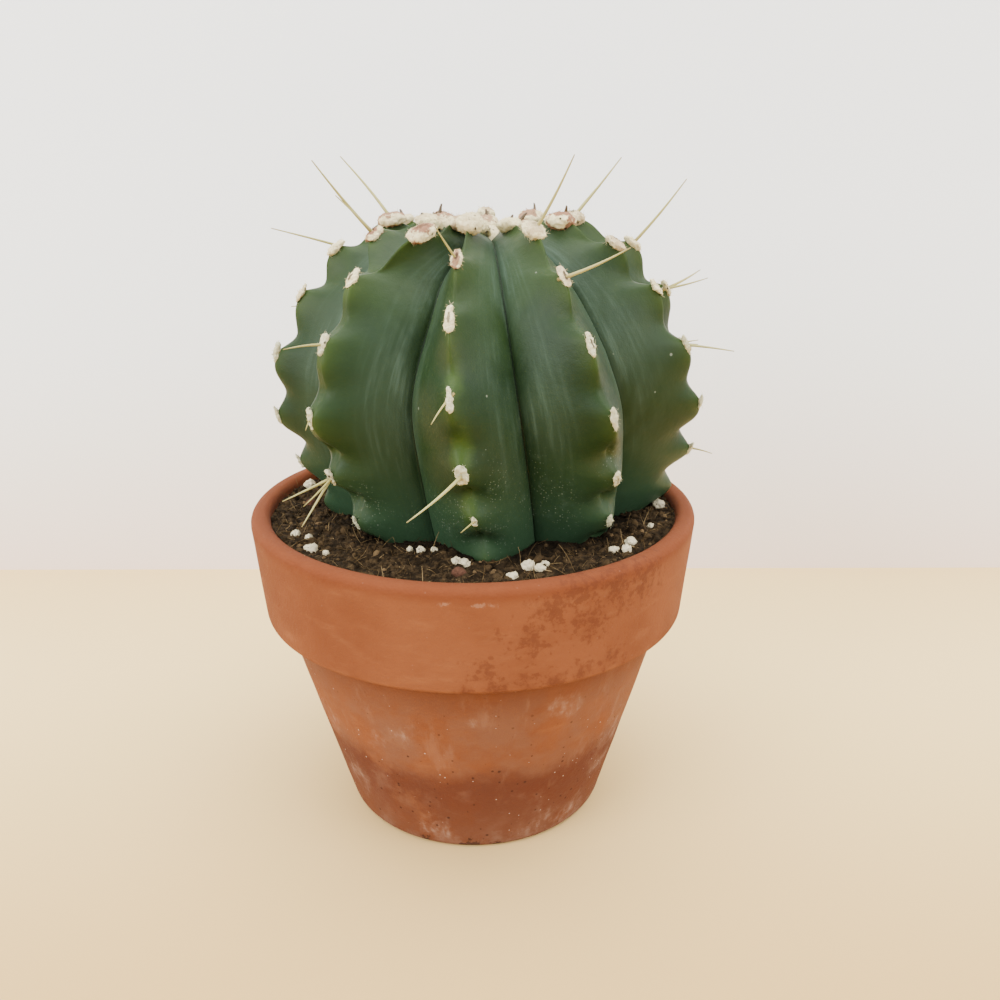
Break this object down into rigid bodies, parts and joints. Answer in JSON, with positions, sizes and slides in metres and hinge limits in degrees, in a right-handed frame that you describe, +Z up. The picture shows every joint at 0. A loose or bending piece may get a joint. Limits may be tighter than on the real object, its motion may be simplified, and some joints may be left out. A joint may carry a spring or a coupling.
{
  "type": "potted barrel cactus",
  "caption": "Round ribbed barrel cactus with woolly areoles and straw-coloured spines, growing in peat soil in a tapered terracotta clay pot.",
  "frame": {"origin": "centre of the pot's foot, on the surface that the pot stands on", "axes": "+Z up along the pot's axis, -Y towards the side of the plant that the picture shows"},
  "size_m": [0.1675, 0.1734, 0.2335],
  "materials": {
    "pot": "matte unglazed terracotta",
    "soil": "crumbly dark peat with white perlite grains",
    "cactus": "satin waxy skin with cream wool and straw-coloured spines"
  },
  "bodies": {
    "root": {"pot": "pot", "soil": "soil", "cactus": "cactus"}
  },
  "joints": []
}
